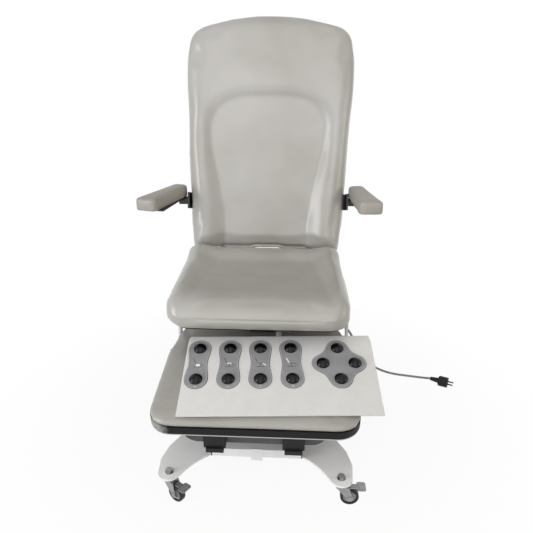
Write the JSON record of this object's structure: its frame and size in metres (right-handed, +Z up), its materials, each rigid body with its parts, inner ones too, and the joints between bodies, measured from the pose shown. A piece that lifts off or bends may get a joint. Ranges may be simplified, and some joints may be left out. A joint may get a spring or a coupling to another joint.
{
  "type": "examination chair",
  "caption": "Motorised examination chair: reclining back, tilting seat, leg rest with wedge control console, swing-up armrests, telescopic lift column and braked casters.",
  "frame": {"origin": "on the floor, under the middle of the chair's outline without its leads", "axes": "+Z up, +Y from the leg rest to the backrest (the patient faces -Y), +X to the right of the picture"},
  "size_m": [1.069, 0.983, 1.2576],
  "materials": {
    "vinyl": "satin vinyl",
    "arm_foam": "satin moulded foam skin",
    "shell_plastic": "fine grain",
    "ivory_plastic": "fine grain",
    "keypad_plastic": "satin",
    "button_plastic": "gloss",
    "dark_plastic": "fine grain",
    "plug_plastic": "satin",
    "black_rubber": "satin",
    "cord_rubber": "satin",
    "wheel_rubber": "matt",
    "light_paint": "powder coat",
    "black_paint": "powder coat",
    "grey_paint": "powder coat",
    "bright_steel": "bright zinc",
    "aluminium_tray": "brushed",
    "plywood": "plain"
  },
  "bodies": {
    "base": {"base_plate_front": "light_paint", "base_plate_rear": "light_paint", "base_tubes": "light_paint", "base_end_caps": "dark_plastic", "caster_bolts": "bright_steel", "column_outer": "grey_paint", "control_box": "dark_plastic", "mains_gland": "cord_rubber", "mains_lead_start": "cord_rubber", "mains_lead_coil": "cord_rubber", "mains_lead_end": "cord_rubber", "mains_plug": "plug_plastic"},
    "column_middle": {"column_middle": "grey_paint"},
    "lift": {"column_inner": "grey_paint", "lift_head": "black_paint"},
    "seat": {"seat_frame": "light_paint", "seat_board": "plywood", "seat_cushion": "vinyl", "recliner_drive": "dark_plastic", "leg_rest_drive": "dark_plastic"},
    "backrest": {"backrest_frame": "black_paint", "backrest_shell": "shell_plastic", "backrest_cushion": "vinyl"},
    "armrest_left": {"armrest_arm_left": "black_paint", "armrest_pad_left": "arm_foam"},
    "armrest_right": {"armrest_arm_right": "black_paint", "armrest_pad_right": "arm_foam"},
    "leg_rest": {"leg_rest_frame": "black_paint", "leg_rest_tray": "aluminium_tray", "leg_rest_trim": "black_rubber", "leg_rest_shell": "shell_plastic", "leg_rest_rail_caps": "black_rubber", "leg_rest_cushion": "vinyl", "console_case": "ivory_plastic", "console_base": "ivory_plastic", "console_keypads": "keypad_plastic", "console_socket": "dark_plastic", "console_lead": "cord_rubber"},
    "button_1_up": {"button_1_up": "button_plastic"},
    "button_1_down": {"button_1_down": "button_plastic"},
    "button_2_up": {"button_2_up": "button_plastic"},
    "button_2_down": {"button_2_down": "button_plastic"},
    "button_3_up": {"button_3_up": "button_plastic"},
    "button_3_down": {"button_3_down": "button_plastic"},
    "button_4_up": {"button_4_up": "button_plastic"},
    "button_4_down": {"button_4_down": "button_plastic"},
    "button_cross_up": {"button_cross_up": "button_plastic"},
    "button_cross_down": {"button_cross_down": "button_plastic"},
    "button_cross_left": {"button_cross_left": "button_plastic"},
    "button_cross_right": {"button_cross_right": "button_plastic"},
    "caster_front_left": {"caster_fork_front_left": "bright_steel"},
    "wheel_front_left": {"caster_wheel_front_left": "wheel_rubber"},
    "caster_front_right": {"caster_fork_front_right": "bright_steel"},
    "wheel_front_right": {"caster_wheel_front_right": "wheel_rubber"},
    "caster_rear_left": {"caster_fork_rear_left": "bright_steel"},
    "wheel_rear_left": {"caster_wheel_rear_left": "wheel_rubber"},
    "caster_rear_right": {"caster_fork_rear_right": "bright_steel"},
    "wheel_rear_right": {"caster_wheel_rear_right": "wheel_rubber"},
    "pedal_front_left": {"brake_pedal_front_left": "bright_steel"},
    "pedal_front_right": {"brake_pedal_front_right": "bright_steel"}
  },
  "joints": [
    {"name": "lift", "type": "slide", "parent": "base", "child": "lift", "axis": [0, 0, 1], "range_m": [0, 0.2]},
    {"name": "column_stage", "type": "slide", "parent": "base", "child": "column_middle", "axis": [0, 0, 1], "range_m": [0, 0.1]},
    {"name": "seat_tilt", "type": "hinge", "parent": "lift", "child": "seat", "pos_m": [0, 0.04765, 0.396], "axis": [-1, 0, 0], "range_deg": [0, 12]},
    {"name": "backrest_recline", "type": "hinge", "parent": "seat", "child": "backrest", "pos_m": [0, 0.19065, 0.497], "axis": [-1, 0, 0], "range_deg": [0, 74]},
    {"name": "leg_rest_raise", "type": "hinge", "parent": "seat", "child": "leg_rest", "pos_m": [0, -0.05035, 0.297], "axis": [-1, 0, 0], "range_deg": [-6, 12]},
    {"name": "armrest_left_raise", "type": "hinge", "parent": "backrest", "child": "armrest_left", "pos_m": [-0.29, 0.26065, 0.664], "axis": [-1, 0, 0], "range_deg": [0, 90]},
    {"name": "armrest_right_raise", "type": "hinge", "parent": "backrest", "child": "armrest_right", "pos_m": [0.29, 0.26065, 0.664], "axis": [-1, 0, 0], "range_deg": [0, 90]},
    {"name": "button_1_up_press", "type": "slide", "parent": "leg_rest", "child": "button_1_up", "axis": [-0.0099, 0.3276, -0.9448], "range_m": [0, 0.0025], "stiffness_N_per_m": 400, "springref_m": -0.002},
    {"name": "button_1_down_press", "type": "slide", "parent": "leg_rest", "child": "button_1_down", "axis": [-0.0099, 0.3276, -0.9448], "range_m": [0, 0.0025], "stiffness_N_per_m": 400, "springref_m": -0.002},
    {"name": "button_2_up_press", "type": "slide", "parent": "leg_rest", "child": "button_2_up", "axis": [-0.0099, 0.3276, -0.9448], "range_m": [0, 0.0025], "stiffness_N_per_m": 400, "springref_m": -0.002},
    {"name": "button_2_down_press", "type": "slide", "parent": "leg_rest", "child": "button_2_down", "axis": [-0.0099, 0.3276, -0.9448], "range_m": [0, 0.0025], "stiffness_N_per_m": 400, "springref_m": -0.002},
    {"name": "button_3_up_press", "type": "slide", "parent": "leg_rest", "child": "button_3_up", "axis": [-0.0099, 0.3276, -0.9448], "range_m": [0, 0.0025], "stiffness_N_per_m": 400, "springref_m": -0.002},
    {"name": "button_3_down_press", "type": "slide", "parent": "leg_rest", "child": "button_3_down", "axis": [-0.0099, 0.3276, -0.9448], "range_m": [0, 0.0025], "stiffness_N_per_m": 400, "springref_m": -0.002},
    {"name": "button_4_up_press", "type": "slide", "parent": "leg_rest", "child": "button_4_up", "axis": [-0.0099, 0.3276, -0.9448], "range_m": [0, 0.0025], "stiffness_N_per_m": 400, "springref_m": -0.002},
    {"name": "button_4_down_press", "type": "slide", "parent": "leg_rest", "child": "button_4_down", "axis": [-0.0099, 0.3276, -0.9448], "range_m": [0, 0.0025], "stiffness_N_per_m": 400, "springref_m": -0.002},
    {"name": "button_cross_up_press", "type": "slide", "parent": "leg_rest", "child": "button_cross_up", "axis": [-0.0099, 0.3276, -0.9448], "range_m": [0, 0.0025], "stiffness_N_per_m": 400, "springref_m": -0.002},
    {"name": "button_cross_down_press", "type": "slide", "parent": "leg_rest", "child": "button_cross_down", "axis": [-0.0099, 0.3276, -0.9448], "range_m": [0, 0.0025], "stiffness_N_per_m": 400, "springref_m": -0.002},
    {"name": "button_cross_left_press", "type": "slide", "parent": "leg_rest", "child": "button_cross_left", "axis": [-0.0099, 0.3276, -0.9448], "range_m": [0, 0.0025], "stiffness_N_per_m": 400, "springref_m": -0.002},
    {"name": "button_cross_right_press", "type": "slide", "parent": "leg_rest", "child": "button_cross_right", "axis": [-0.0099, 0.3276, -0.9448], "range_m": [0, 0.0025], "stiffness_N_per_m": 400, "springref_m": -0.002},
    {"name": "caster_front_left_swivel", "type": "hinge", "parent": "base", "child": "caster_front_left", "pos_m": [-0.231, -0.42735, 0.066], "axis": [0, 0, 1], "continuous": true},
    {"name": "wheel_front_left_roll", "type": "hinge", "parent": "caster_front_left", "child": "wheel_front_left", "pos_m": [-0.21087, -0.44043, 0.025], "axis": [0.5446, 0.8387, 0], "continuous": true},
    {"name": "pedal_front_left_press", "type": "hinge", "parent": "caster_front_left", "child": "pedal_front_left", "pos_m": [-0.22094, -0.43389, 0.0542], "axis": [0.5446, 0.8387, 0], "range_deg": [0, 12]},
    {"name": "caster_front_right_swivel", "type": "hinge", "parent": "base", "child": "caster_front_right", "pos_m": [0.231, -0.42735, 0.066], "axis": [0, 0, 1], "continuous": true},
    {"name": "wheel_front_right_roll", "type": "hinge", "parent": "caster_front_right", "child": "wheel_front_right", "pos_m": [0.255, -0.42735, 0.025], "axis": [0, 1, 0], "continuous": true},
    {"name": "pedal_front_right_press", "type": "hinge", "parent": "caster_front_right", "child": "pedal_front_right", "pos_m": [0.243, -0.42735, 0.0542], "axis": [0, 1, 0], "range_deg": [0, 12]},
    {"name": "caster_rear_left_swivel", "type": "hinge", "parent": "base", "child": "caster_rear_left", "pos_m": [-0.231, 0.27265, 0.066], "axis": [0, 0, 1], "continuous": true},
    {"name": "wheel_rear_left_roll", "type": "hinge", "parent": "caster_rear_left", "child": "wheel_rear_left", "pos_m": [-0.23517, 0.29628, 0.025], "axis": [-0.9848, -0.1736, 0], "continuous": true},
    {"name": "caster_rear_right_swivel", "type": "hinge", "parent": "base", "child": "caster_rear_right", "pos_m": [0.231, 0.27265, 0.066], "axis": [0, 0, 1], "continuous": true},
    {"name": "wheel_rear_right_roll", "type": "hinge", "parent": "caster_rear_right", "child": "wheel_rear_right", "pos_m": [0.23721, 0.29583, 0.025], "axis": [-0.9659, 0.2588, 0], "continuous": true}
  ],
  "couplings": [
    {"joint": "column_stage", "follows": "lift", "ratio": 0.5}
  ]
}
